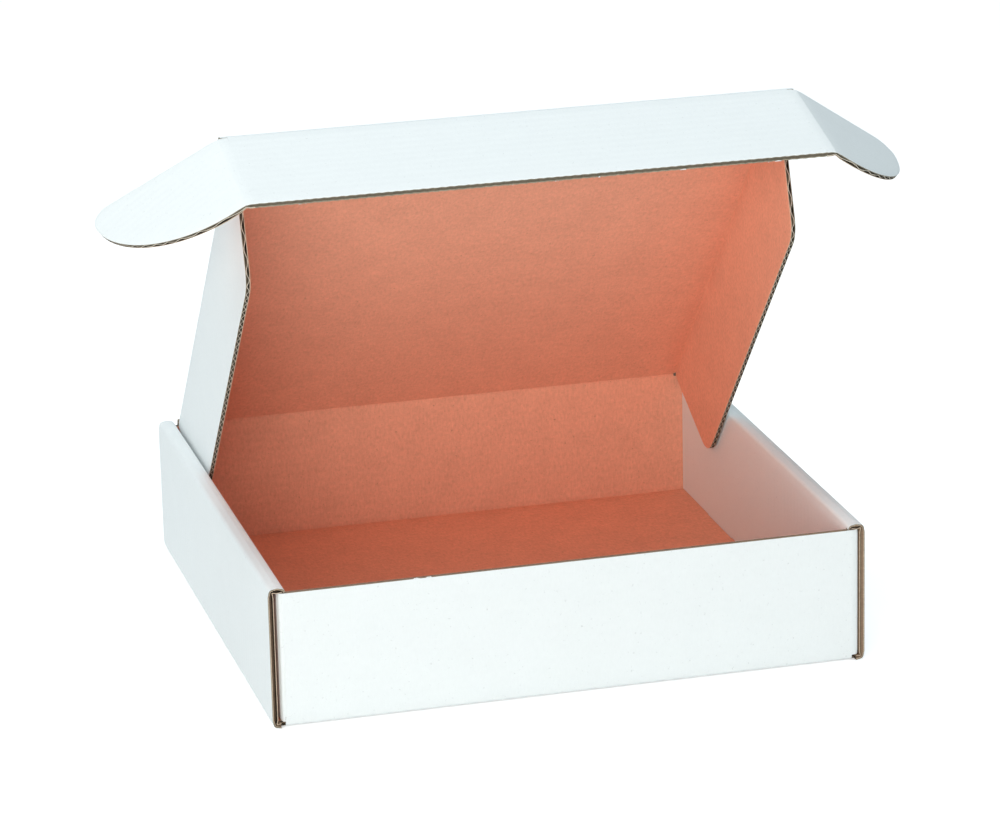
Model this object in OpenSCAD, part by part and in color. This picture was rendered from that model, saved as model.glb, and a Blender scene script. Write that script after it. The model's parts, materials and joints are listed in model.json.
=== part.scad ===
// Corrugated mailer box with rolled side walls, a hinged lid, a tuck flap and two lock ears.
// It is folded from one die-cut blank of single-wall board, white outside and kraft inside.
// Origin: centre of the base. +X is the box's right, -Y its front, +Z up. Millimetres.

/* [Box] */
// Outside width, across the two rolled side walls
box_w = 328; // [240:1:420]
// Outside depth, from the front panel to the back panel
box_d = 302; // [220:1:380]
// Height of the rolled side walls
wall_h = 78.2; // [64:0.2:110]
// Thickness of the corrugated board
board_t = 3.2; // [2.8:0.1:3.6]
// Radius on the inside of a folded crease
crease_r = 0.6; // [0.3:0.1:1]

/* [Rolled side walls] */
// Air left between the layers of a rolled wall
layer_gap = 0.2; // [0.1:0.05:0.5]
// Length of the corner flaps that are trapped in the rolled walls
corner_flap_len = 70; // [40:1:100]
// Length of each tab that locks an inner wall into the floor
tab_len = 45; // [25:1:70]
// Distance between the middles of the two tabs of one wall
tab_pitch = 150; // [100:1:180]
// Play round a tab in its slot
slot_play = 0.3; // [0.2:0.05:0.8]
// Distance from the tip of a tab to the surface that the box stands on
tab_lift = 0.4; // [0.2:0.1:1]

/* [Lid] */
// How far the lid stands open, measured from closed
lid_open = 48; // [12:1:170]
// Length of the lid, from the hinge crease to the outer face of the tuck crease
lid_len = 293; // [211:1:371]
// Play between a dust flap and the inner wall beside it
lid_side_play = 1.2; // [0.6:0.1:2.5]
// Gap between the round top of the back panel and the end of the lid board
hinge_gap = 0.15; // [0.1:0.05:0.4]
// Depth of the dust flaps, from the top of the lid
flap_depth = 71; // [40:0.5:74]
// How far the front corner of a dust flap is set back from the tuck crease
flap_front_set = 39; // [20:1:60]
// How far the rear corner of a dust flap is set in from the hinge
flap_rear_set = 20; // [8:1:40]
// Radius of the two free corners of a dust flap
flap_corner_r = 15; // [4:1:25]

/* [Tuck flap and lock ears] */
// Fold between the lid and the tuck flap, which has sprung open from a right angle
tuck_fold = 63.5; // [45:0.5:90]
// Height of the tuck flap, from the outer face of its crease
tuck_h = 73.5; // [45:0.5:74.5]
// Play between the end of the tuck flap and the outer wall beside it
tuck_play = 0.6; // [0.2:0.1:2]
// Width of the lid board left beside the tuck crease, past the dust flaps
shoulder = 3; // [2:0.5:6]
// Fold between the tuck flap and each lock ear
ear_fold = 38.5; // [5:0.5:88]
// Length of each lock ear, from its crease to its tip
ear_len = 82; // [50:1:100]
// Least distance from the tuck crease to where the top edge of an ear starts
ear_start = 3; // [1:0.5:8]
// How far the top edge of an ear climbs on its way to the tip
ear_climb = 19; // [0:0.5:24]
// Radius of the ear's tip
ear_tip_r = 9; // [4:0.5:14]
// Fullness of the ear's swept lower edge, where 2 is an ellipse
ear_fullness = 1.7; // [1.2:0.05:2]

/* [Flutes] */
// Distance from one flute to the next
flute_pitch = 5.8; // [5:0.1:7]
// Thickness of each liner sheet
liner_t = 0.4; // [0.3:0.05:0.5]
// Half the thickness of the wavy sheet, where it crosses the open end
medium_half = 0.5; // [0.3:0.05:0.6]
// Depth to which the open flute ends are cut
flute_depth = 2.5; // [1:0.5:6]

/* [Hidden] */

white_paper = [0.93, 0.97, 0.98];
bend_r = board_t + crease_r;
half_w = box_w / 2;
half_d = box_d / 2;

// Faces of the layers of a rolled wall, counted from the middle of the box
outer_in = half_w - board_t;
flap_out = outer_in - layer_gap;
flap_in = flap_out - board_t;
inner_out = flap_in - layer_gap;
inner_in = inner_out - board_t;
roll_under = wall_h - board_t;
panel_h = roll_under - layer_gap;

// The hinge runs along the middle of the board, on top of the back panel
hinge_y = half_d - board_t / 2;
hinge_z = wall_h - board_t / 2;
lid_half = inner_in - lid_side_play;
board_start = board_t / 2 + hinge_gap;

// The tuck flap starts where its bend ends
tuck_half = outer_in - tuck_play;
tuck_bend = bend_r * tan(tuck_fold / 2);
ear_bend = bend_r * tan(ear_fold / 2);
flat_end = lid_len - tuck_bend;
// Half the width of the tuck flap between its ears' bends
tuck_flat = tuck_half - ear_bend;

// Angle step of a rounded corner
arc_step = 6;
// How far a cutting shape runs past what it cuts
over = 1;
// How far a bend laps over the flat board next to it
lap = 0.5;
// The ears' creases keep clear of the tuck bend
ear_from = max(ear_start, tuck_bend + lap);

// Corner i of an outline, rounded by radius r, as a list of points along its arc
function corner_arc(path, i, r) =
    let (
        n = len(path),
        here = path[i],
        to_last = path[(i + n - 1) % n] - here,
        to_next = path[(i + 1) % n] - here,
        u = to_last / norm(to_last),
        v = to_next / norm(to_next),
        turn = acos(u * v),
        centre = here + (u + v) / norm(u + v) * r / sin(turn / 2),
        first = here + u * r / tan(turn / 2) - centre,
        sense = sign(v[0] * u[1] - v[1] * u[0]),
        sweep = sense * (180 - turn),
        steps = max(2, ceil(abs(sweep) / arc_step))
    )
    [for (k = [0:steps])
        let (a = sweep * k / steps)
        centre + [first[0] * cos(a) - first[1] * sin(a), first[0] * sin(a) + first[1] * cos(a)]];

// An outline with a radius at each of its corners, where 0 keeps the corner sharp
function rounded(path, radii) =
    [for (i = [0:len(path) - 1])
        each (radii[i] > 0 ? corner_arc(path, i, radii[i]) : [path[i]])];

// A rectangle that stands on y = 0, with its two upper corners rounded
module arch(w, h, r) {
    translate([-w / 2, 0]) square([w, h - r]);
    translate([-w / 2 + r, 0]) square([w - 2 * r, h]);
    for (side = [-1, 1])
        translate([side * (w / 2 - r), h - r]) circle(r, $fn = 48);
}

// The blank's middle band, seen from the front: floor, outer walls, rolls and inner walls
module band_section() {
    difference() {
        union() {
            translate([0, wall_h / 2]) arch(box_w, wall_h / 2, bend_r);
            translate([0, wall_h / 2]) mirror([0, 1]) arch(box_w, wall_h / 2, bend_r);
        }
        translate([-outer_in, board_t]) square([2 * outer_in, wall_h]);
    }
    for (side = [-1, 1])
        translate([side * (half_w + inner_in) / 2, board_t + layer_gap]) roll_section();
}

// One rolled wall: outer wall, top and inner wall round an air space one board wide
module roll_section() {
    w = half_w - inner_in;
    h = wall_h - board_t - layer_gap;
    difference() {
        arch(w, h, bend_r);
        translate([-w / 2 + board_t, -over]) square([w - 2 * board_t, h - board_t + over]);
    }
}

// Front or back panel with its two corner flaps, seen from above, for the front of the box
module panel_plan() {
    difference() {
        translate([0, corner_flap_len - half_d]) mirror([0, 1]) arch(2 * flap_out, corner_flap_len, bend_r);
        translate([0, corner_flap_len + over - half_d])
            mirror([0, 1]) arch(2 * flap_in, corner_flap_len + over - board_t, crease_r);
    }
}

// Front panel with its corner flaps, raised over the bottom crease
module end_panel() {
    translate([0, 0, board_t + layer_gap])
        linear_extrude(panel_h - board_t - layer_gap) panel_plan();
    translate([-flap_out + bend_r, -half_d, board_t / 2])
        cube([2 * (flap_out - bend_r), board_t, panel_h / 2]);
}

// What the rounded bottom crease of an end panel takes off the floor's square edge
module bottom_crease_cut() {
    translate([-flap_out, -half_d, 0])
        rotate([90, 0, 90])
            linear_extrude(2 * flap_out)
                difference() {
                    translate([-over, -over]) square([bend_r + over, bend_r + over]);
                    translate([bend_r, bend_r]) circle(bend_r, $fn = 48);
                }
}

// Room for an end panel in the lower part of the rolled walls, which stop short of it
module end_panel_room() {
    reach = board_t + layer_gap;
    translate([inner_in - over, -half_d - over, board_t])
        cube([outer_in - inner_in + over, reach + over, roll_under - board_t]);
}

// The places along a wall where its locking tabs stand
tab_places = [-tab_pitch / 2, tab_pitch / 2];

// Slots in the floor for the locking tabs of one inner wall
module tab_slots() {
    for (y = tab_places)
        translate([inner_in - slot_play, y - tab_len / 2 - slot_play, -over])
            cube([board_t + 2 * slot_play, tab_len + 2 * slot_play, board_t + 2 * over]);
}

// Locking tabs under one inner wall
module tabs() {
    for (y = tab_places)
        translate([inner_in, y - tab_len / 2, tab_lift])
            cube([board_t, tab_len, board_t + over]);
}

// Round top of the back panel, which the lid turns about
module hinge_top() {
    translate([-lid_half, half_d - board_t, panel_h - over])
        cube([2 * lid_half, board_t, hinge_z - panel_h + over]);
    translate([-lid_half, hinge_y, hinge_z])
        rotate([0, 90, 0]) cylinder(h = 2 * lid_half, r = board_t / 2, $fn = 48);
}

module tray() {
    color(white_paper) {
        difference() {
            translate([0, half_d, 0]) rotate([90, 0, 0]) linear_extrude(box_d) band_section();
            for (side = [0, 1], end = [0, 1])
                mirror([side, 0, 0]) mirror([0, end, 0]) end_panel_room();
            for (end = [0, 1])
                mirror([0, end, 0]) bottom_crease_cut();
            for (side = [0, 1])
                mirror([side, 0, 0]) tab_slots();
        }
        for (end = [0, 1])
            mirror([0, end, 0]) end_panel();
        for (side = [0, 1])
            mirror([side, 0, 0]) tabs();
        hinge_top();
    }
}

// Lid and dust flaps seen from the front: x across the lid, y up from the lid's outer face
module lid_section() {
    translate([0, -flap_depth])
        difference() {
            arch(2 * lid_half, flap_depth, bend_r);
            translate([0, -over]) arch(2 * (lid_half - board_t), flap_depth - board_t + over, crease_r);
        }
}

// Outline of the lid and a dust flap seen from the side: x along the lid, y down from its outer face
lid_side = rounded(
    [
        [board_start, -over],
        [flat_end - lap, -over],
        [flat_end - lap, board_t],
        [lid_len - flap_front_set, flap_depth],
        [flap_rear_set, flap_depth],
        [board_start, board_t]
    ],
    [0, 0, 0, flap_corner_r, flap_corner_r, 0]
);

// A flat outline in lid lengths and depths, made into a block as wide as the lid
module across_lid(half_width) {
    translate([-half_width, 0, board_t / 2])
        rotate([90, 0, 90]) linear_extrude(2 * half_width) mirror([1, 0]) mirror([0, 1]) children();
}

// Open flute ends in a row: x along the row, y from one liner to the other
module flute_row(length) {
    tall = board_t - 2 * liner_t;
    wide = flute_pitch / 2 - medium_half;
    narrow = medium_half / 2;
    count = floor(length / flute_pitch);
    for (k = [0:count - 1]) {
        translate([(k + 0.25) * flute_pitch, liner_t])
            polygon([[-wide, 0], [wide, 0], [narrow, tall - medium_half], [-narrow, tall - medium_half]]);
        translate([(k + 0.75) * flute_pitch, board_t - liner_t])
            polygon([[-wide, 0], [wide, 0], [narrow, medium_half - tall], [-narrow, medium_half - tall]]);
    }
}

// Open flute ends along the lower edge of the right dust flap
module flap_flutes() {
    from = flap_rear_set + flap_corner_r;
    to = lid_len - flap_front_set - flap_corner_r;
    translate([lid_half, -from, board_t / 2 - flap_depth - over])
        linear_extrude(flute_depth + over) rotate(-90) mirror([0, 1]) flute_row(to - from);
}

// Outline of a lock ear in its own plane: x out from the crease, y down from the tuck crease
ear_top = ear_from - ear_climb;
ear_mid = ear_top + ear_tip_r + ear_start;
ear_drop = tuck_h - ear_mid;
ear_sweep = [for (a = [0:6:90])
    [ear_len * pow(cos(a), 2 / ear_fullness), ear_mid + ear_drop * pow(sin(a), 2 / ear_fullness)]];
ear_outline = rounded(
    concat([[0, ear_from], [ear_bend, ear_from], [ear_len, ear_top]], ear_sweep),
    concat([0, 0, ear_tip_r], [for (p = ear_sweep) 0])
);

// Open flute ends round the tip of an ear, as deep along the ear as they are elsewhere
module ear_flutes() {
    intersection() {
        linear_extrude(board_t)
            difference() {
                polygon(ear_outline);
                translate([-flute_depth, 0]) polygon(ear_outline);
            }
        rotate([90, 0, 90]) linear_extrude(ear_len + over)
            translate([ear_top, 0]) flute_row(tuck_h - ear_top);
    }
}

// The right ear, lying flat: x out from the bend, y down, z through the board with the outer face at z = 0
module ear_board() {
    translate([0, 0, -board_t])
        difference() {
            linear_extrude(board_t) intersection() {
                polygon(ear_outline);
                translate([ear_bend + lap / 2, -box_d]) square(2 * box_d);
            }
            ear_flutes();
        }
}

// Bend of a board between two panels: the first lies along -x with its outer face at y = 0
module bend_section(fold, first, second) {
    out = [cos(fold), -sin(fold)];
    across = [-sin(fold), -cos(fold)] * board_t;
    inner_corner = [-board_t * tan(fold / 2), -board_t];
    polygon(rounded(
        [[-first, 0], [0, 0], second * out, second * out + across, inner_corner, [-first, -board_t]],
        [0, bend_r, 0, 0, crease_r, 0]
    ));
}

// Tuck flap and ears in the tuck flap's own frame: x across, y down the flap, z out of its white face
module tuck_and_ears() {
    half_run = tuck_flat - lap / 2;
    run_start = tuck_bend + lap / 2;
    translate([0, tuck_h, 0]) rotate([90, 0, 0]) {
        linear_extrude(tuck_h - run_start)
            translate([-half_run, -board_t]) square([2 * half_run, board_t]);
        for (side = [0, 1])
            mirror([side, 0, 0]) translate([tuck_half, 0, 0])
                linear_extrude(tuck_h - ear_from) bend_section(ear_fold, ear_bend + lap, ear_bend + lap);
    }
    for (side = [0, 1])
        mirror([side, 0, 0]) translate([tuck_half, 0, 0]) rotate([0, ear_fold, 0]) ear_board();
}

// The whole lid board in the lid's own frame: the hinge axis is x, and the closed lid points to -y
module lid_board() {
    difference() {
        intersection() {
            rotate([90, 0, 0]) translate([0, board_t / 2, 0]) linear_extrude(flat_end) lid_section();
            across_lid(lid_half) polygon(lid_side);
        }
        for (side = [0, 1])
            mirror([side, 0, 0]) flap_flutes();
    }
    translate([-tuck_flat, -lid_len, board_t / 2])
        rotate([90, 0, 90]) linear_extrude(2 * tuck_flat)
            mirror([1, 0]) bend_section(tuck_fold, tuck_bend + shoulder, tuck_bend + lap);
    translate([0, -lid_len, board_t / 2])
        rotate([tuck_fold, 0, 0]) mirror([0, 1, 0]) tuck_and_ears();
}

module lid() {
    color(white_paper)
        translate([0, hinge_y, hinge_z]) rotate([-lid_open, 0, 0]) lid_board();
}

tray();
lid();
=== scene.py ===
# %% [markdown]
# # A corrugated mailer box, from its cardboard up
# A mailer box is one die-cut blank of corrugated board, folded without glue. The box is convincing only
# when its board is, because every edge shows how it is made: a white sheet, a wavy sheet and a brown
# sheet, 3.2 mm in all. This lesson builds that board as a surface function, folds each panel of the
# blank from it, and gives the paper its own materials. All lengths are in metres.

# %% Frame and tools
import json

import bpy
import numpy as np
from mathutils import Matrix, Vector


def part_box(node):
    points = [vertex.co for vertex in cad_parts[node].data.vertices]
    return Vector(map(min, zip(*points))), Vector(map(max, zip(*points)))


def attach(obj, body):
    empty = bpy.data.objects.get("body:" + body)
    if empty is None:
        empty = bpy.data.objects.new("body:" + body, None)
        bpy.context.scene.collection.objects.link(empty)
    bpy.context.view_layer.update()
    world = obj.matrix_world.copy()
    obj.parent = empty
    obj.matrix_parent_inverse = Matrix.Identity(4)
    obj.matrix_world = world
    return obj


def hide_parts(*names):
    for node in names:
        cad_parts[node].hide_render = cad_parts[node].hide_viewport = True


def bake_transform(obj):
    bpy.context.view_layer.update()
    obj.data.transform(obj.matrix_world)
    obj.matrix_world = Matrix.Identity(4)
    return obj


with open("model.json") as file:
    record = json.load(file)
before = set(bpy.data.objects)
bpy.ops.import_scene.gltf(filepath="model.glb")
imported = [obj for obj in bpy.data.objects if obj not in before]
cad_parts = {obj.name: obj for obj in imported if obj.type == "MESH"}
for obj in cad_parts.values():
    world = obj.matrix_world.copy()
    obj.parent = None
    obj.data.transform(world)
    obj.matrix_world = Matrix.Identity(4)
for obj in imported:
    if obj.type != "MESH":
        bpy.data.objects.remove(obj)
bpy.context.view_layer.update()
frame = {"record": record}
MM = 0.001
hinge = next(joint for joint in frame["record"]["behaviour"]["joints"] if joint["name"] == "lid_hinge")
print("joint", hinge["name"], "at", hinge["pos_m"])

# %% [markdown]
# ## Camera
# The camera comes first, because it decides which details matter. The photograph was taken from the
# front left, a little above the lid, with a long lens that keeps the box's edges almost parallel. A
# camera fit to the box's corners gave its place, its direction and its lens, for a frame of
# 1000 by 818 pixels.


# %% Camera
def add_camera(eye, forward, right, lens):
    """A camera at eye that looks along forward; right is the direction of the picture's x axis."""
    forward = Vector(forward).normalized()
    right = Vector(right)
    right = (right - right.dot(forward) * forward).normalized()
    up = right.cross(forward)
    camera = bpy.data.objects.new("camera", bpy.data.cameras.new("camera"))
    bpy.context.scene.collection.objects.link(camera)
    turn = Matrix((right, up, -forward)).transposed()
    camera.matrix_world = Matrix.Translation(Vector(eye)) @ turn.to_4x4()
    camera.data.sensor_width = 36
    camera.data.lens = lens
    camera.data.clip_end = 50
    bpy.context.scene.camera = camera
    return camera


camera = add_camera(
    eye=(-0.5886, -2.2679, 0.8570),
    forward=(0.2404, 0.9224, -0.3023),
    right=(0.9656, -0.2590, -0.0225),
    lens=158.9,
)
print("camera", [round(value, 3) for value in camera.location], "lens", camera.data.lens)

# %% [markdown]
# ## Sizes
# The outside sizes come from the CAD frame. The board's own sizes, and the places of its folds, are
# named here once. A fold takes up a board and a little more on each side of its corner, but the crease
# crushes the board, so the middle of the board turns round a radius of only 1.2 mm. The dust flaps and
# the tuck flap have a little room beside the panels that they slide past.

# %% Sizes of the box and of its board
tray_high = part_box("tray")[1]
half_w, half_d, wall_h = tray_high.x, tray_high.y, tray_high.z

board = 3.2 * MM
liner = 0.4 * MM
fluting = 0.3 * MM
flute_pitch = 5.8 * MM
crease = 0.6 * MM
bend_outer = board + crease
crease_radius = 1.2 * MM
layer_gap = 0.2 * MM

outer_wall = half_w - board / 2
flap_wall = half_w - 1.5 * board - layer_gap
inner_wall = half_w - 2.5 * board - 2 * layer_gap
roll_top = wall_h - board / 2
panel_top = wall_h - board - layer_gap
panel_flat = half_w - board - layer_gap - bend_outer
wall_foot = board + layer_gap

corner_flap = 70 * MM
tab_length = 45 * MM
tab_pitch = 150 * MM
tab_lift = 0.4 * MM
slot_play = 0.3 * MM

lid_angle = np.radians(48)
lid_length = 293 * MM
dust_room = 1.2 * MM
lid_half = inner_wall - board / 2 - dust_room
dust_depth = 71 * MM
dust_front = 39 * MM
dust_rear = 20 * MM
dust_root = 9 * MM
dust_radius = 15 * MM

tuck_fold = np.radians(63.5)
tuck_height = 73.5 * MM
tuck_room = 0.6 * MM
tuck_half = half_w - board - tuck_room
shoulder = 3 * MM
ear_fold = np.radians(38.5)
ear_length = 82 * MM
ear_start = 3 * MM
ear_climb = 19 * MM
ear_tip = 9 * MM
ear_fullness = 1.7
tuck_bend = bend_outer * np.tan(tuck_fold / 2)
ear_bend = bend_outer * np.tan(ear_fold / 2)
lid_flat_end = lid_length - tuck_bend - shoulder
tuck_flat = tuck_half - ear_bend
print("box %.0f x %.0f x %.0f mm" % (2000 * half_w, 2000 * half_d, 1000 * wall_h))

# %% [markdown]
# ## Folded tracks
# Every panel of the blank is a flat strip that was bent round straight creases. So its middle surface
# is a line with rounded corners, a track, carried straight along the crease. The track is sampled by
# its length, as the flat blank is, which keeps the paper's scale true through each bend.


# %% Tracks
radians_a_sample = 0.4


def track(corners, radius, outside, lead=2 * MM):
    """A line through corners with each inner corner rounded by an arc of that radius.

    Returns its length at each sample, the samples, their normals and how creased the board is there.
    An arc has three samples, and one more for each radians_a_sample of its turn.
    outside is 1 where the white face lies left of the line as it runs, and -1 where it lies right.
    lead is the length on each side of an arc over which the crease fades out.
    """
    corners = [np.array(corner, float) for corner in corners]
    points, normals, creased = [], [], []

    def add(point, heading, amount):
        points.append(point)
        normals.append(outside * np.array([-heading[1], heading[0]]))
        creased.append(amount)

    heading = (corners[1] - corners[0]) / np.linalg.norm(corners[1] - corners[0])
    add(corners[0], heading, 0)
    for before, here, after in zip(corners, corners[1:], corners[2:]):
        into = (here - before) / np.linalg.norm(here - before)
        out = (after - here) / np.linalg.norm(after - here)
        turn = np.arctan2(into[0] * out[1] - into[1] * out[0], into @ out)
        reach = radius * np.tan(abs(turn) / 2)
        left = np.sign(turn) * np.array([-into[1], into[0]])
        centre = here - into * reach + left * radius
        add(here - into * (reach + lead), into, 0)
        for angle in np.linspace(0, turn, 3 + round(abs(turn) / radians_a_sample)):
            cosine, sine = np.cos(angle), np.sin(angle)
            spun = np.array([-left[0] * cosine + left[1] * sine, -left[0] * sine - left[1] * cosine])
            along = np.array([into[0] * cosine - into[1] * sine, into[0] * sine + into[1] * cosine])
            add(centre + spun * radius, along, 1)
        add(here + out * (reach + lead), out, 0)
        heading = out
    add(corners[-1], heading, 0)
    points, normals = np.array(points), np.array(normals)
    length = np.concatenate([[0], np.cumsum(np.linalg.norm(np.diff(points, axis=0), axis=1))])
    return length, points, normals, np.array(creased, float)


def steps(start, end, pitch, *extra):
    """Even steps from start to end, at most pitch apart, with the extra places added.

    An even step that lies nearer than a tenth of the pitch to an extra place is left out.
    """
    even = np.linspace(start, end, max(2, int(np.ceil((end - start) / pitch)) + 1))
    near = [place for place in extra if start < place < end]
    even = even[[all(abs(value - place) > 0.1 * pitch for place in near) for value in even]]
    return np.unique(np.concatenate([even, near, [start, end]]))


print("steps from 0 to 10, at most 4 apart, with 5 added", steps(0, 10, 4, 5))

# %% [markdown]
# ## Three layers of paper
# Board is two flat liners with a wavy sheet, the medium, glued between them. Painting that on an edge
# never looks right, because the tunnels are deep and dark. So all three sheets are real surfaces: each
# is the middle surface moved along its normal, and the medium is moved by a cosine of the distance across
# the flutes. A crease or a cut edge squeezes the board, so there the sheets come closer and the wave
# flattens.


# %% Sheets
def cells(grid):
    """The middle value of each cell of a grid."""
    return (grid[1:, 1:] + grid[:-1, 1:] + grid[1:, :-1] + grid[:-1, :-1]) / 4


def shell(low, high, keep, paper, below, above, rim):
    """A closed thin sheet between two grids of points, for the cells in keep.

    Each kept cell gives a face on both grids, and a rim face on each of its sides that has no kept
    cell beyond it. paper is the place of each grid point on the flat blank, used as the UV map.
    """
    rows, columns = keep.shape[0] + 1, keep.shape[1] + 1
    number = np.arange(rows * columns).reshape(rows, columns)
    loop = [number[:-1, :-1], number[1:, :-1], number[1:, 1:], number[:-1, 1:]]
    around = np.stack(loop, -1)[keep]
    beyond = np.pad(keep, 1)
    beyond = [beyond[1:-1, :-2], beyond[2:, 1:-1], beyond[1:-1, 2:], beyond[:-2, 1:-1]]
    faces = [around[:, ::-1], around + rows * columns]
    for side in range(4):
        open_side = keep & ~beyond[side]
        start, end = loop[side][open_side], loop[(side + 1) % 4][open_side]
        faces.append(np.stack([start, end, end + rows * columns, start + rows * columns], -1))
    counts = [len(faces[0]), len(faces[1]), sum(len(side) for side in faces[2:])]
    faces = np.concatenate(faces)
    i, j = rows // 2, columns // 2
    along, across = high[i, j] - high[i - 1, j], high[i, j] - high[i, j - 1]
    if np.cross(along, across) @ (high[i, j] - low[i, j]) < 0:
        faces = faces[:, ::-1]
    points = np.concatenate([low.reshape(-1, 3), high.reshape(-1, 3)])
    corner_paper = paper.reshape(-1, 2)[faces % (rows * columns)]
    return points, faces, np.repeat([below, above, rim], counts), corner_paper


def fold(shape, place, s, w):
    """Grid points and normals at the lengths s along a track and w along its creases.

    place is the origin and the three directions that the track's two axes and its creases take.
    """
    length, points, normals, creased = shape
    origin, first, second, crease_way = [np.array(value, float) for value in place]
    at = [np.interp(s, length, points[:, axis]) for axis in (0, 1)]
    facing = [np.interp(s, length, normals[:, axis]) for axis in (0, 1)]
    spot = origin + at[0][..., None] * first + at[1][..., None] * second + w[..., None] * crease_way
    normal = facing[0][..., None] * first + facing[1][..., None] * second
    normal /= np.linalg.norm(normal, axis=-1, keepdims=True)
    return spot, normal, np.interp(s, length, creased)


WHITE, KRAFT, RAW, TUNNEL_SHADE, GREY_CUT, TAN_CUT, CREAM_CUT = range(7)
LINER_CELL = (12 * MM, 12 * MM)
FLUTE_CELL = 40 * MM
flattened = 0.4
# Kraft cells nearer a cut than this share take the medium's paper, as painted shade.
painted_shade_threshold = 0.1
smooth_below = np.radians(35)


def cardboard(shape, place, panel, crush=0.22, squeeze=0.3, wave_steps=8, paint_shade_by_cuts=False,
              rims=(GREY_CUT, TAN_CUT, TAN_CUT)):
    """The three sheets of one folded panel, as shells.

    panel gives, for a step across the flutes and a step along them, the lengths s and w of each grid
    point, the kept cells, the place on the flat blank and how near a cut edge is, from 0 to 1. crush and
    squeeze are the shares of its thickness that the board loses at a cut and at a crease, and wave_steps
    the grid steps in one flute. Where asked, the kraft face beside the cuts takes the medium's darker
    paper, as painted shade. rims are the papers of the cut rims of the outer liner, the inner liner and
    the medium. The medium's wave is a cosine of the place on the blank, and a crease takes the share
    flattened off its height.
    """

    def sheet(cell):
        s, w, keep, paper, cut = panel(*cell)
        spot, normal, creased = fold(shape, place, s, w)
        half = board / 2 * (1 - squeeze * creased) * (1 - crush * cut)
        return spot, normal, creased, half, keep, paper, cut

    spot, normal, creased, half, keep, paper, cut = sheet(LINER_CELL)
    face, back = normal * half[..., None], normal * (half - liner)[..., None]
    # The liners' inner sides take a nearly black paper, as painted shade in the tunnels.
    outer = shell(spot + back, spot + face, keep, paper, TUNNEL_SHADE, WHITE, rims[0])
    inner = shell(spot - face, spot - back, keep, paper, KRAFT, TUNNEL_SHADE, rims[1])
    # Painted shade: the kraft face beside the cuts is given the medium's darker paper.
    if paint_shade_by_cuts:
        painted_shade_cells = np.flatnonzero(cells(cut)[keep] > painted_shade_threshold)
        inner[2][painted_shade_cells] = RAW
    spot, normal, creased, half, keep, paper, _ = sheet((flute_pitch / wave_steps, FLUTE_CELL))
    wave = np.cos(2 * np.pi * paper[..., 1] / flute_pitch) * (1 - flattened * creased)
    middle = spot + normal * ((half - liner - fluting / 2) * wave)[..., None]
    side = normal * fluting / 2
    return [outer, inner, shell(middle - side, middle + side, keep, paper, RAW, RAW, rims[2])]


def make_piece(name, sheets, materials):
    """One mesh object from a list of shells, with its UV map, materials and shading."""
    start, points, faces, kinds, papers = 0, [], [], [], []
    for sheet_points, sheet_faces, sheet_kinds, sheet_paper in sheets:
        used, renumbered = np.unique(sheet_faces, return_inverse=True)
        points.append(sheet_points[used])
        faces.append(renumbered.reshape(sheet_faces.shape) + start)
        kinds.append(sheet_kinds)
        papers.append(sheet_paper)
        start += len(used)
    points, faces = np.concatenate(points), np.concatenate(faces)
    mesh = bpy.data.meshes.new(name)
    mesh.vertices.add(len(points))
    mesh.vertices.foreach_set("co", points.ravel())
    mesh.loops.add(faces.size)
    mesh.loops.foreach_set("vertex_index", faces.ravel())
    mesh.polygons.add(len(faces))
    mesh.polygons.foreach_set("loop_start", np.arange(0, faces.size, 4))
    mesh.polygons.foreach_set("material_index", np.concatenate(kinds))
    for material in materials:
        mesh.materials.append(material)
    mesh.uv_layers.new(name="blank").data.foreach_set("uv", np.concatenate(papers).ravel())
    mesh.update(calc_edges=True)
    mesh.polygons.foreach_set("use_smooth", np.ones(len(faces), bool))
    mesh.set_sharp_from_angle(angle=smooth_below)
    piece = bpy.data.objects.new(name, mesh)
    bpy.context.scene.collection.objects.link(piece)
    print(name, len(points), "points", 2 * len(faces), "triangles")
    return piece


print("the medium swings %.2f mm to each side" % (1000 * (board / 2 - liner - fluting / 2)))

# %% [markdown]
# ## Papers
# The box shows a clay-coated white sheet outside, a reddish recycled kraft sheet inside and the browner
# medium in the flutes. The cut rims have papers of their own: the white sheet cuts grey-brown, because
# only its skin is white, and the other two cut tan, and the medium cuts cream on the lid's flaps and
# ears. The liners' inner sides are painted nearly black, as painted shade in the tunnels. Paper is never
# one flat colour. It has clouds, a grain of a millimetre or two, a few dark specks, and on board a faint
# washboard where the liner sinks between the flutes. Streaks and washboard read the UV map, which is the
# place on the flat blank in metres, so they stay in scale and follow the flutes round every fold. The
# lid's medium is painted a little darker and greyer than the tray's, as painted shade.


# %% Papers
clouds_a_metre = 55.0
grains_a_metre = 480.0
specks_a_metre = 700.0
fibres_a_metre = 900.0, 260.0, 1.0
speck_level = 0.70
fibre_tint = 1.5


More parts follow.
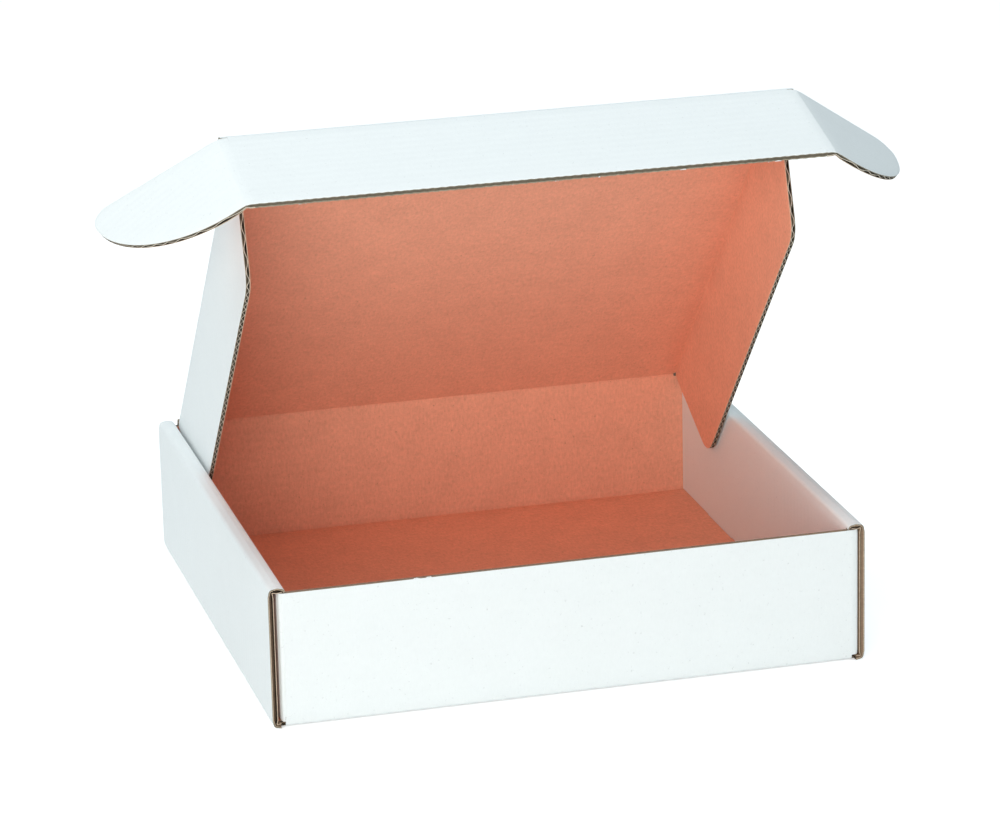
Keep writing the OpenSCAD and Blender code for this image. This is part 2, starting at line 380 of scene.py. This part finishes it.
def paper_material(name, colour, cloud, grain, speck=1.0, rough=0.85, washboard=0.0, fibre=0.04 * MM):
    """Paper whose colour is varied by clouds, grain and specks, with fibres and a washboard as bump.

    cloud, grain and speck are shares of the colour; washboard and fibre are heights in metres. The
    colour is multiplied by one, plus each pattern's distance from its mean times its share, less the
    specks, which are the noise above speck_level.
    """
    material = bpy.data.materials.new(name)
    material.use_nodes = True
    nodes, links = material.node_tree.nodes, material.node_tree.links
    nodes.clear()

    def node(kind, inputs=(), **settings):
        made = nodes.new(kind)
        for key, value in settings.items():
            setattr(made, key, value)
        for key, value in dict(inputs).items():
            if isinstance(value, bpy.types.NodeSocket):
                links.new(value, made.inputs[key])
            else:
                made.inputs[key].default_value = value
        return made

    def math(operation, first, second=0.0):
        return node("ShaderNodeMath", {0: first, 1: second}, operation=operation).outputs[0]

    def noise(vector, scale, detail, roughness=0.5):
        inputs = {"Vector": vector, "Scale": scale, "Detail": detail, "Roughness": roughness}
        return node("ShaderNodeTexNoise", inputs).outputs["Fac"]

    def varied(pattern, share):
        return math("MULTIPLY", math("SUBTRACT", pattern, 0.5), share)

    blank = node("ShaderNodeUVMap", uv_map="blank").outputs[0]
    place = node("ShaderNodeTexCoord").outputs["Object"]
    streak = node("ShaderNodeMapping", {"Vector": blank, "Scale": fibres_a_metre}).outputs[0]
    clouds = noise(place, clouds_a_metre, 5.0, 0.65)
    fibres = noise(streak, 1.0, 4.0, 0.6)
    specks = noise(place, specks_a_metre, 1.0)
    grains = noise(place, grains_a_metre, 3.0, 0.7)
    value = math("ADD", varied(clouds, cloud), varied(fibres, cloud * fibre_tint))
    value = math("ADD", math("ADD", value, varied(grains, grain)), 1.0)
    spots = math("MAXIMUM", math("SUBTRACT", specks, speck_level), 0.0)
    value = math("SUBTRACT", value, math("MULTIPLY", spots, speck))
    shade = node("ShaderNodeCombineColor", {0: value, 1: value, 2: value}).outputs[0]
    colours = {"Factor": 1.0, 6: (*colour, 1.0), 7: shade}
    tint = node("ShaderNodeMix", colours, data_type="RGBA", blend_type="MULTIPLY")

    across = node("ShaderNodeSeparateXYZ", {0: blank}).outputs[1]
    ripple = math("SINE", math("MULTIPLY", across, 2 * np.pi / flute_pitch))
    height = math("MULTIPLY", ripple, washboard)
    height = math("ADD", height, math("MULTIPLY", fibres, fibre))
    bump = node("ShaderNodeBump", {"Height": height, "Distance": 1.0, "Strength": 1.0}).outputs[0]
    surface = node(
        "ShaderNodeBsdfPrincipled",
        {"Base Color": tint.outputs[2], "Roughness": rough, "Specular IOR Level": 0.3, "Normal": bump},
    )
    node("ShaderNodeOutputMaterial", {"Surface": surface.outputs[0]})
    return material


white_paper = paper_material(
    "white_liner", (0.85, 0.88, 0.885), cloud=0.04, grain=0.03,
    speck=1.2, rough=0.62, washboard=0.03 * MM, fibre=0.02 * MM,
)
kraft_paper = paper_material(
    "kraft_liner", (0.88, 0.42, 0.282), cloud=0.22, grain=0.42,
    speck=2.0, rough=0.75, washboard=0.03 * MM,
)
medium_paper = paper_material("medium", (0.28, 0.19, 0.125), cloud=0.35, grain=0.4)
# Painted shade: the lid's medium is the tray's medium made darker and greyer.
shaded_lid_medium = paper_material("medium_of_lid_painted_shade", (0.20, 0.17, 0.125), cloud=0.35, grain=0.4)
# Painted shade: the liners' inner sides are nearly black, so that the flute tunnels read dark.
painted_tunnel_shade = paper_material("painted_tunnel_shade", (0.07, 0.055, 0.04), cloud=0.35, grain=0.4)
grey_cut = paper_material("white_liner_cut", (0.30, 0.265, 0.20), cloud=0.5, grain=0.8)
tan_cut = paper_material("brown_paper_cut", (0.56, 0.43, 0.32), cloud=0.5, grain=0.8)
cream_cut = paper_material("cream_paper_cut", (0.80, 0.72, 0.60), cloud=0.4, grain=0.6)
PAPERS = [white_paper, kraft_paper, medium_paper, painted_tunnel_shade, grey_cut, tan_cut, cream_cut]
# The lid's papers hold the medium with painted shade.
LID_SHADED_PAPERS = [white_paper, kraft_paper, shaded_lid_medium, painted_tunnel_shade, grey_cut, tan_cut, cream_cut]
print("papers", [paper.name for paper in PAPERS], "and for the lid", shaded_lid_medium.name)

# %% [markdown]
# ## Floor, front panel and back panel
# The floor, the front and the back are one long strip of the blank, bent up at two creases that run
# along the flutes. So the track goes down the front, along the floor and up the back. The strip leaves
# its last few millimetres at each end of a panel to the corner flap, which starts there.


# %% Floor, front and back
squeeze_reach = 1.2 * MM
press_lead = 1.1 * MM
press_reach = 1.0 * MM
edge_insets = np.array([0.3, 0.7, 1.2, 2.0, 4.0]) * MM


def near_edge(distance):
    """How near a cut edge is: 1 at the edge, and divided by e for each squeeze_reach from it."""
    return np.exp(-np.abs(distance) / squeeze_reach)


def pressed(distance, lead=press_lead):
    """The place in its wave of a flute that a cut has pressed: its distance from the cut plus a lead.

    The lead grows from nothing at the cut to its whole size within a few millimetres, so the last
    flute stands steeply there and its flank closes the board's end.
    """
    return distance + lead * (1 - np.exp(-np.abs(distance) / press_reach))


def edge_steps(start, end):
    """Places close to two cut edges, where the board is squeezed."""
    return [*(start + edge_insets), *(end - edge_insets)]


end_plane = half_d - board / 2
floor_track = track(
    [(-end_plane, panel_top), (-end_plane, board / 2), (end_plane, board / 2), (end_plane, panel_top)],
    crease_radius, outside=-1,
)
floor_length = floor_track[0][-1]
seam = inner_wall - board / 2 - slot_play
seam_height = 6 * MM
slot_half = tab_length / 2 + slot_play
slot_ends = [side * (tab_pitch / 2 + end * slot_half) for side in (-1, 1) for end in (-1, 1)]


def in_slot(y):
    """Whether a place along a wall lies in one of its two slots."""
    return np.abs(np.abs(y) - tab_pitch / 2) < slot_half


def floor_panel(across, along):
    creases = floor_track[0][1:-1]
    middle = floor_length / 2
    rise = panel_top - seam_height
    s = steps(0, floor_length, across, rise, floor_length - rise, *creases,
              *[middle + end for end in slot_ends], *edge_steps(0, floor_length))
    w = steps(-panel_flat, panel_flat, along, -seam, seam)
    s, w = np.meshgrid(s, w, indexing="ij")
    s_cell, w_cell = cells(s), np.abs(cells(w))
    end_of_panel = (w_cell > seam) & (np.abs(s_cell - middle) > middle - rise)
    slot = (w_cell > seam) & in_slot(s_cell - middle)
    paper = np.stack([w, s - middle], -1)
    return s, w, ~end_of_panel & ~slot, paper, near_edge(s) + near_edge(s - floor_length)


floor_crush = 0.08
hidden_steps = 4
strip_place = (0, 0, 0), (0, 1, 0), (0, 0, 1), (1, 0, 0)
tray_sheets = cardboard(floor_track, strip_place, floor_panel, crush=floor_crush, wave_steps=hidden_steps)
print("floor strip %.0f mm long" % (1000 * floor_length))

# %% [markdown]
# ## Torn scraps
# A die crushes the board as it cuts, so here and there the liner tears, and a scrap of it stands on the
# edge. A painted mark would lie flat there. Each scrap is a tiny curled shell of its own, with a ragged
# top from a seeded random generator. Two wide ones lie on the front panel's edge, left of its middle.

# %% Torn scraps
scrap_root = 0.25 * MM
scrap_inset = 0.05 * MM
scrap_thickness = 0.12 * MM
scrap_lean = 0.6
chance = np.random.default_rng(11)


def scrap(foot, along, up, lean, width, height, bend=2.0):
    """A torn bit of liner: a strip of that width that rises from foot and leans over the cut.

    Its height is the root of a half sine along its width, times random shares from 0.55 to 1, and it
    leans by scrap_lean of its height times its share of the rise to the power bend.
    """
    foot, along, up, lean = [np.array(value, float) for value in (foot, along, up, lean)]
    share, rise = np.meshgrid(np.linspace(0, 1, 9), np.linspace(0, 1, 4), indexing="ij")
    ragged = np.sqrt(np.sin(np.pi * np.clip(share, 0.02, 0.98))) * (0.55 + 0.45 * chance.random((9, 1)))
    risen = height * ragged * rise
    points = foot + ((share - 0.5) * width)[..., None] * along + (risen - scrap_root)[..., None] * up
    points = points + (scrap_lean * height * ragged * rise ** bend)[..., None] * lean
    paper = np.stack([foot @ along + share * width, risen], -1)
    keep = np.ones((share.shape[0] - 1, share.shape[1] - 1), bool)
    return shell(points + scrap_thickness * lean, points, keep, paper, WHITE, WHITE, TAN_CUT)


def small_scraps(count, places, widths, heights):
    """Places along a cut, widths and heights of scraps, each drawn from its range in millimetres."""
    return [[chance.uniform(*span) * MM for span in (places, widths, heights)] for _ in range(count)]


front_scraps = [[-83.9 * MM, 4.4 * MM, 0.9 * MM], [-77.4 * MM, 3.4 * MM, 0.85 * MM]]
front_scraps += small_scraps(16, places=(-150, 150), widths=(0.6, 1.6), heights=(0.15, 0.4))
front_scraps += small_scraps(6, places=(62, 84), widths=(0.5, 1.2), heights=(0.2, 0.45))
front_foot = floor_crush * board / 2 + scrap_inset - half_d
for x, width, height in front_scraps:
    tray_sheets.append(scrap((x, front_foot, panel_top), (1, 0, 0), (0, 0, 1), (0, 1, 0), width, height))
print("scraps on the front edge", len(front_scraps))

# %% [markdown]
# ## Corner flaps
# Each end of the front and back panels turns a corner and runs back inside the rolled side wall, which
# traps it. The flutes run along these panels and round the corner, so the track is seen from above. The
# crushed crease keeps the corner a little way in from the wall, and the flap slants out to meet the
# wall deeper in. The panels sit a little to the right in this box, so the slot beside the front panel
# stands open on the left and is nearly shut on the right.

# %% Corner flaps
corner_set = {-1: 1.6 * MM, 1: -0.25 * MM}
corner_squeeze = {-1: 0.38, 1: 0.2}
corner_radius = 0.4 * MM
corner_lead = 0.8 * MM
slant_start = 9 * MM
slant_end = 22 * MM


def corner_track(inset):
    """The track of a corner flap whose fold stands that far in from its place at the wall."""
    fold_at = flap_wall - inset
    corners = [
        (seam, -end_plane),
        (fold_at, -end_plane),
        (fold_at, slant_start - end_plane),
        (flap_wall, slant_end - end_plane),
        (flap_wall, corner_flap - half_d),
    ]
    return track(corners, corner_radius, outside=-1, lead=corner_lead)


def corner_panel(across, along):
    s = steps(0, flap_track[0][-1], along, *flap_track[0][1:-1], panel_flat - seam)
    w = steps(wall_foot, panel_top, across, seam_height, *edge_steps(wall_foot, panel_top))
    s, w = np.meshgrid(s, w, indexing="ij")
    keep = (cells(s) > panel_flat - seam) | (cells(w) > seam_height)
    paper = np.stack([seam + s, w - panel_top - floor_length / 2], -1)
    return s, w, keep, paper, near_edge(w - panel_top) + near_edge(w - wall_foot)


for side in (-1, 1):
    flap_track = corner_track(corner_set[side])
    for end in (-1, 1):
        place = (0, 0, 0), (side, 0, 0), (0, -end, 0), (0, 0, 1)
        tray_sheets += cardboard(
            flap_track, place, corner_panel, squeeze=corner_squeeze[side], wave_steps=hidden_steps
        )
print("corner flaps reach to", round(1000 * (corner_flap - half_d)), "mm")

# %% [markdown]
# ## Rolled side walls
# Each side of the floor rises as the outer wall, rolls over the corner flaps and goes down inside as
# the inner wall, so its white face shows on both sides. Two tabs lock it into slots in the floor. The
# flutes run up and over the roll. The inner wall stops short of the front and back panels. At the ends
# the die has pressed the last flute flatter on the right than on the left. Beside the cut ends the kraft
# skin in the roll is painted as dark as the medium, as painted shade in the slot beside each panel.

# %% Rolled side walls
wall_track = track(
    [(panel_flat, board / 2), (outer_wall, board / 2), (outer_wall, roll_top),
     (inner_wall, roll_top), (inner_wall, tab_lift)],
    crease_radius, outside=-1,
)
wall_length = wall_track[0][-1]
end_press = {-1: 0.0, 1: press_lead}
wall_crush = 0.06


def side_panel(across, along):
    creases = wall_track[0][1:-1]
    foot = wall_length - (wall_foot - tab_lift)
    slot_edge = inner_wall + board / 2 + slot_play - panel_flat
    wall_end = half_d - board - layer_gap
    tab_ends = [side * (tab_pitch / 2 + end * tab_length / 2) for side in (-1, 1) for end in (-1, 1)]
    s = steps(0, wall_length, along, slot_edge, foot, *creases)
    cuts = [-wall_end, wall_end, *slot_ends, *tab_ends, *edge_steps(-half_d, half_d)]
    w = steps(-half_d, half_d, across, *cuts)
    s, w = np.meshgrid(s, w, indexing="ij")
    s_cell, w_cell = cells(s), np.abs(cells(w))
    slot = (s_cell < slot_edge) & in_slot(w_cell)
    past_end = (s_cell > creases[-2]) & (w_cell > wall_end)
    corner = (s_cell < creases[0]) & (w_cell > half_d - bend_outer)
    between_tabs = (s_cell > foot) & (np.abs(w_cell - tab_pitch / 2) > tab_length / 2)
    paper = np.stack([panel_flat + s, pressed(half_d - np.abs(w), end_press[side])], -1)
    return s, w, ~slot & ~past_end & ~corner & ~between_tabs, paper, near_edge(np.abs(w) - half_d)


for side in (-1, 1):
    place = (0, 0, 0), (side, 0, 0), (0, 0, 1), (0, 1, 0)
    # The kraft skin beside the wall's cut ends is painted with the medium's paper, as painted shade in
    # the slots.
    tray_sheets += cardboard(
        wall_track, place, side_panel, crush=wall_crush, wave_steps=hidden_steps, paint_shade_by_cuts=True
    )
tray = make_piece("tray_board", tray_sheets, PAPERS)
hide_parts("tray")
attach(tray, "tray")

# %% [markdown]
# ## Lid and dust flaps
# The lid stands open at 48 degrees, turned about the crease on top of the back panel. Its two dust
# flaps are bent at right angles along the lid, with open flutes along their free edges. A dust flap's
# depth changes along the lid, so each row of the grid is stretched to reach its outline. Beside the
# hinge the flap starts 9 mm deep, because the photograph shows no opening there.


# %% Lid and dust flaps
def rounded_outline(corners, radii):
    """An outline through corners, each rounded by its radius with an arc of nine points."""
    corners = np.array(corners, float)
    points = [corners[:1]]
    for before, here, after, radius in zip(corners, corners[1:], corners[2:], radii):
        back = (before - here) / np.linalg.norm(before - here)
        ahead = (after - here) / np.linalg.norm(after - here)
        half_angle = np.arccos(back @ ahead) / 2
        centre = here + (back + ahead) / np.linalg.norm(back + ahead) * radius / np.sin(half_angle)
        first = here + back * radius / np.tan(half_angle) - centre
        last = here + ahead * radius / np.tan(half_angle) - centre
        share = np.linspace(0, 1, 9)[:, None]
        arc = first * (1 - share) + last * share
        points.append(centre + radius * arc / np.linalg.norm(arc, axis=1, keepdims=True))
    points.append(corners[-1:])
    return np.concatenate(points)


lid_way = np.array([0, -np.cos(lid_angle), np.sin(lid_angle)])
lid_up = np.array([0, np.sin(lid_angle), np.cos(lid_angle)])
hinge_at = np.array(hinge["pos_m"], float)
hinge_gap = 0.15 * MM
least_flap = 0.2 * MM
lid_start = board / 2 + hinge_gap
lid_mid = lid_half - board / 2
dust_outline = rounded_outline(
    [(lid_start, dust_root), (dust_rear, dust_depth), (lid_length - dust_front, dust_depth),
     (lid_length - tuck_bend, board)],
    [dust_radius, dust_radius],
)
drop = dust_depth - board / 2
bent_depth = board / 2 + crease_radius
lid_corners = [(-lid_mid, -drop), (-lid_mid, 0), (lid_mid, 0), (lid_mid, -drop)]
lid_track = track(lid_corners, crease_radius, outside=1)
lid_paper = floor_length / 2 + hinge_at[2] - panel_top


def lid_panel(across, along):
    length, flat = lid_track[0][-1], drop - crease_radius
    s = steps(0, length, along, *lid_track[0][1:-1], flat, length - flat, *edge_steps(0, length))
    w = steps(lid_start, lid_flat_end, across, *dust_outline[1:-1, 0])
    s, w = np.meshgrid(s, w, indexing="ij")
    depth = np.interp(w, dust_outline[:, 0], dust_outline[:, 1])
    share = np.maximum(depth - bent_depth, least_flap) / (dust_depth - bent_depth)
    reach = np.abs(s - length / 2) - (length / 2 - flat)
    moved = np.where(reach > 0, (length / 2 - flat) + reach * share, length / 2 - flat + reach)
    paper = np.stack([s - length / 2, lid_paper + w], -1)
    s = length / 2 + np.sign(s - length / 2) * moved
    edge = near_edge(flat * share - np.maximum(reach, 0) * share)
    return s, w, np.ones((s.shape[0] - 1, s.shape[1] - 1), bool), paper, edge


open_rims = GREY_CUT, TAN_CUT, CREAM_CUT
lid_sheets = cardboard(lid_track, (hinge_at, (1, 0, 0), lid_up, lid_way), lid_panel, rims=open_rims)
print("lid board", round(1000 * lid_flat_end), "mm to the shoulder")

# %% [markdown]
# ## Tuck flap
# The tuck flap hangs from the lid's front crease, where the board has sprung open to a fold of 63.5
# degrees. The crease runs along the flutes. A narrow shoulder of the lid is wider than the lid itself,
# because the dust flaps were cut free there. A few scraps of liner stand on its cut edge.

# %% Tuck flap
middle_corner = lid_length - board / 2 * np.tan(tuck_fold / 2)
tuck_mid = tuck_height - board / 2 * np.tan(tuck_fold / 2)
tuck_end = (middle_corner + tuck_mid * np.cos(tuck_fold), -tuck_mid * np.sin(tuck_fold))
tuck_track = track([(lid_flat_end, 0), (middle_corner, 0), tuck_end], crease_radius, outside=1)
tuck_length = tuck_track[0][-1]
ear_seam = tuck_flat - 4 * MM
tooth_pitch = 4.8 * MM
tooth_depth = 0.35 * MM
toothed = 5 * MM


def tuck_panel(across, along):
    ear_line = tuck_length - (tuck_height - ear_start)
    s = steps(0, tuck_length - toothed, across, ear_line, *tuck_track[0][1:-1])
    w = steps(-tuck_flat, tuck_flat, along, -ear_seam, ear_seam)
    s, w = np.meshgrid(s, w, indexing="ij")
    keep = (np.abs(cells(w)) < ear_seam) | (cells(s) < ear_line)
    paper = np.stack([w, lid_paper + lid_flat_end + s], -1)
    return s, w, keep, paper, near_edge(s - tuck_length)


def tuck_edge_panel(across, along):
    """The last few millimetres of the tuck flap: the cut wavers as a sine of its length.

    The wave of the medium is eased from its place in the flap to half a wave at the cut.
    """
    s = steps(tuck_length - toothed, tuck_length, across, *(tuck_length - edge_insets[:4]))
    w = steps(-ear_seam, ear_seam, tooth_pitch / 6)
    s, w = np.meshgrid(s, w, indexing="ij")
    edge = near_edge(s - tuck_length)
    fade = np.clip(1 - (tuck_length - s) / toothed, 0, 1)
    wavered = s - tooth_depth * fade * (1 + np.sin(2 * np.pi * w / tooth_pitch)) / 2
    cut_at = lid_paper + lid_flat_end + tuck_length
    half_wave = (np.round(cut_at / flute_pitch) + 0.5) * flute_pitch
    miss = cut_at - toothed - half_wave + pressed(toothed)
    paper = np.stack([w, half_wave - pressed(tuck_length - s) + miss * (tuck_length - s) / toothed], -1)
    return wavered, w, np.ones((s.shape[0] - 1, s.shape[1] - 1), bool), paper, edge


tuck_place = hinge_at, lid_way, lid_up, (1, 0, 0)
lid_sheets += cardboard(tuck_track, tuck_place, tuck_panel)
lid_sheets += cardboard(tuck_track, tuck_place, tuck_edge_panel, rims=(GREY_CUT, GREY_CUT, GREY_CUT))
tuck_way = lid_way * np.cos(tuck_fold) - lid_up * np.sin(tuck_fold)
tuck_up = lid_way * np.sin(tuck_fold) + lid_up * np.cos(tuck_fold)
scrap_drop = 0.36 * board
tuck_middle = hinge_at + lid_way * tuck_end[0] + lid_up * tuck_end[1]
cut_line = tuck_middle - tuck_up * scrap_drop - tuck_way * scrap_thickness
tuck_scraps = [
    [29 * MM, 1.2 * MM, 1.4 * MM],
    [74.9 * MM, 3.6 * MM, 1.5 * MM],
    [127.5 * MM, 3.8 * MM, 1.5 * MM],
]
tuck_scraps += small_scraps(9, places=(-140, 140), widths=(0.4, 1.1), heights=(0.3, 0.7))
for x, width, height in tuck_scraps:
    foot = cut_line + (x, 0, 0)
    lid_sheets.append(scrap(foot, (1, 0, 0), tuck_up, tuck_way, width, height, bend=0.5))
print("tuck flap", round(1000 * tuck_length), "mm of board,", len(tuck_scraps), "scraps")

# %% [markdown]
# ## Lock ears
# An ear at each end of the tuck flap is folded back by 38.5 degrees. Its upper edge is straight and
# climbs towards a round tip, and its lower edge is a superellipse, fuller than a straight line and
# leaner than an ellipse. The grid runs from the upper edge to the lower one.

# %% Lock ears
tuck_corner = hinge_at + lid_way * lid_length + lid_up * board / 2
ear_corner = tuck_half - board / 2 * np.tan(ear_fold / 2)
ear_mid = ear_length - board / 2 * np.tan(ear_fold / 2)
ear_track = track(
    [(ear_seam, -board / 2), (ear_corner, -board / 2),
     (ear_corner + ear_mid * np.cos(ear_fold), -board / 2 - ear_mid * np.sin(ear_fold))],
    crease_radius, outside=1,
)
ear_arc = (crease_radius + board / 2) * np.tan(ear_fold / 2)
ear_paper = lid_paper + lid_flat_end + tuck_length - tuck_height
ear_top = ear_start - ear_climb
widest = ear_top + ear_tip + ear_start
sweep = np.linspace(0, np.pi / 2, 25)
lower = np.stack([ear_length * np.cos(sweep) ** (2 / ear_fullness),
                  widest + (tuck_height - widest) * np.sin(sweep) ** (2 / ear_fullness)], -1)
sharp = 0.01 * MM
upper_corners = [(0, ear_start), (ear_bend, ear_start), (ear_length, ear_top), lower[0]]
upper = rounded_outline(upper_corners, [sharp, ear_tip])
tip = np.argmax(upper[:, 0])
ear_columns = 32
rim_shares = [0.005, 0.015, 0.03, 0.97, 0.985, 0.995]


def ear_panel(across, along):
    length = ear_track[0][-1]
    arc_end = ear_track[0][-3]
    flat = (length - arc_end) * np.sin(np.linspace(0, 0.5 * np.pi, ear_columns)[:-1])
    s = np.unique(np.concatenate([ear_track[0][:-2], arc_end + flat]))
    q = np.linspace(0, 1, int(np.ceil((tuck_height - ear_top) / across)))
    q = np.unique(np.concatenate([q, rim_shares]))
    s, q = np.meshgrid(s, q, indexing="ij")
    out = np.maximum(ear_arc + s - arc_end, 0)
    high = np.interp(out, upper[: tip + 1, 0], upper[: tip + 1, 1])
    low = np.interp(out, lower[::-1, 0], lower[::-1, 1])
    w = high + (low - high) * q
    paper = np.stack([ear_seam + s, ear_paper + w], -1)
    edge = near_edge((low - high) * q) + near_edge((low - high) * (1 - q))
    return s, w, np.ones((s.shape[0] - 1, s.shape[1] - 1), bool), paper, np.minimum(edge, 1)


for side in (-1, 1):
    ear_place = tuck_corner, (side, 0, 0), tuck_up, tuck_way
    lid_sheets += cardboard(ear_track, ear_place, ear_panel, rims=open_rims)
lid = make_piece("lid_board", lid_sheets, LID_SHADED_PAPERS)
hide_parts("lid")
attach(lid, "lid")

# %% [markdown]
# ## Hinge crease
# The back panel and the lid are one board, so the paper runs on round the crease between them. Beside
# its cut ends the kraft face is painted as dark as the medium, as painted shade, as on the rolls' ends.

# %% Hinge crease
crease_low = np.array([end_plane, panel_top])
crease_high = hinge_at[1:] + lid_way[1:] * lid_start
hinge_radius = 2.2 * MM
hinge_lead = 0.6 * MM
hinge_step = 0.25 * MM
hinge_track = track([crease_low, hinge_at[1:], crease_high], hinge_radius, outside=-1, lead=hinge_lead)


def hinge_panel(across, along):
    s = steps(0, hinge_track[0][-1], hinge_step, *hinge_track[0][1:-1])
    w = steps(-lid_half, lid_half, along, *edge_steps(-lid_half, lid_half))
    s, w = np.meshgrid(s, w, indexing="ij")
    paper = np.stack([w, floor_length / 2 + s], -1)
    return s, w, np.ones((s.shape[0] - 1, s.shape[1] - 1), bool), paper, near_edge(np.abs(w) - lid_half)


# The kraft face beside the crease's cut ends is painted with the medium's paper, as painted shade.
hinge_sheets = cardboard(hinge_track, strip_place, hinge_panel, paint_shade_by_cuts=True)
hinge_crease = make_piece("hinge_crease", hinge_sheets, LID_SHADED_PAPERS)
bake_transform(hinge_crease)
print("hinge crease from", crease_low.round(4), "to", crease_high.round(4))

# %% [markdown]
# ## Floor of the studio and light
# The photograph has a white sweep, a low soft key light from the front left and softer light from
# above, which the lid keeps off the rolled walls. A large plain floor, white to the camera and to
# glossy rays, keeps the box's shadow. The lamps stay at a level where the papers render about as their
# colours are written.


# %% Studio
floor_glow = 0.45
sky_strength = 0.45
sky_colour = 0.78, 0.935, 1, 1
white = 1, 1, 1


def add_lamp(name, place, target, size, energy, colour=white):
    """A square area lamp at place, aimed at target."""
    lamp = bpy.data.objects.new(name, bpy.data.lights.new(name, "AREA"))
    bpy.context.scene.collection.objects.link(lamp)
    lamp.location = place
    lamp.rotation_euler = (Vector(target) - Vector(place)).to_track_quat("-Z", "Y").to_euler()
    lamp.data.size = size
    lamp.data.energy = energy
    lamp.data.color = colour
    return lamp


def floor_material():
    """Pale, with some light of its own towards the camera and in reflections, so that it shows as white.

    The box's shadow stays, because only the light that falls on the floor gets less there.
    """
    material = bpy.data.materials.new("studio_floor")
    material.use_nodes = True
    nodes, links = material.node_tree.nodes, material.node_tree.links
    surface = nodes["Principled BSDF"]
    surface.inputs["Base Color"].default_value = (0.95, 0.95, 0.95, 1)
    surface.inputs["Roughness"].default_value = 0.9
    surface.inputs["Emission Color"].default_value = (1, 1, 1, 1)
    rays = nodes.new("ShaderNodeLightPath")
    seen = rays.outputs["Is Camera Ray"]
    for other in ("Is Glossy Ray", "Is Transmission Ray"):
        either = nodes.new("ShaderNodeMath")
        either.operation = "MAXIMUM"
        links.new(seen, either.inputs[0])
        links.new(rays.outputs[other], either.inputs[1])
        seen = either.outputs[0]
    glow = nodes.new("ShaderNodeMath")
    glow.operation = "MULTIPLY"
    glow.inputs[1].default_value = floor_glow
    links.new(seen, glow.inputs[0])
    links.new(glow.outputs[0], surface.inputs["Emission Strength"])
    return material


mesh = bpy.data.meshes.new("floor")
mesh.from_pydata([(-6, -6, 0), (6, -6, 0), (6, 6, 0), (-6, 6, 0)], [], [(0, 1, 2, 3)])
mesh.materials.append(floor_material())
studio_floor = bpy.data.objects.new("studio_floor", mesh)
bpy.context.scene.collection.objects.link(studio_floor)

world = bpy.data.worlds.new("studio")
bpy.context.scene.world = world
world.use_nodes = True
background = world.node_tree.nodes["Background"]
background.inputs["Color"].default_value = sky_colour
background.inputs["Strength"].default_value = sky_strength
box_middle = (0, 0, 0.1)
add_lamp("key", (-1.3, -2.3, 0.6), box_middle, size=1.6, energy=40, colour=(1, 0.95, 0.88))
add_lamp("top", (0, -0.2, 2.6), box_middle, size=2.0, energy=18.5)
add_lamp("top_left", (-0.8, 0.2, 2.4), box_middle, size=1.2, energy=12.5)
bpy.context.scene.view_settings.view_transform = "Standard"
print("lamps key, top and top_left, sky", sky_strength)
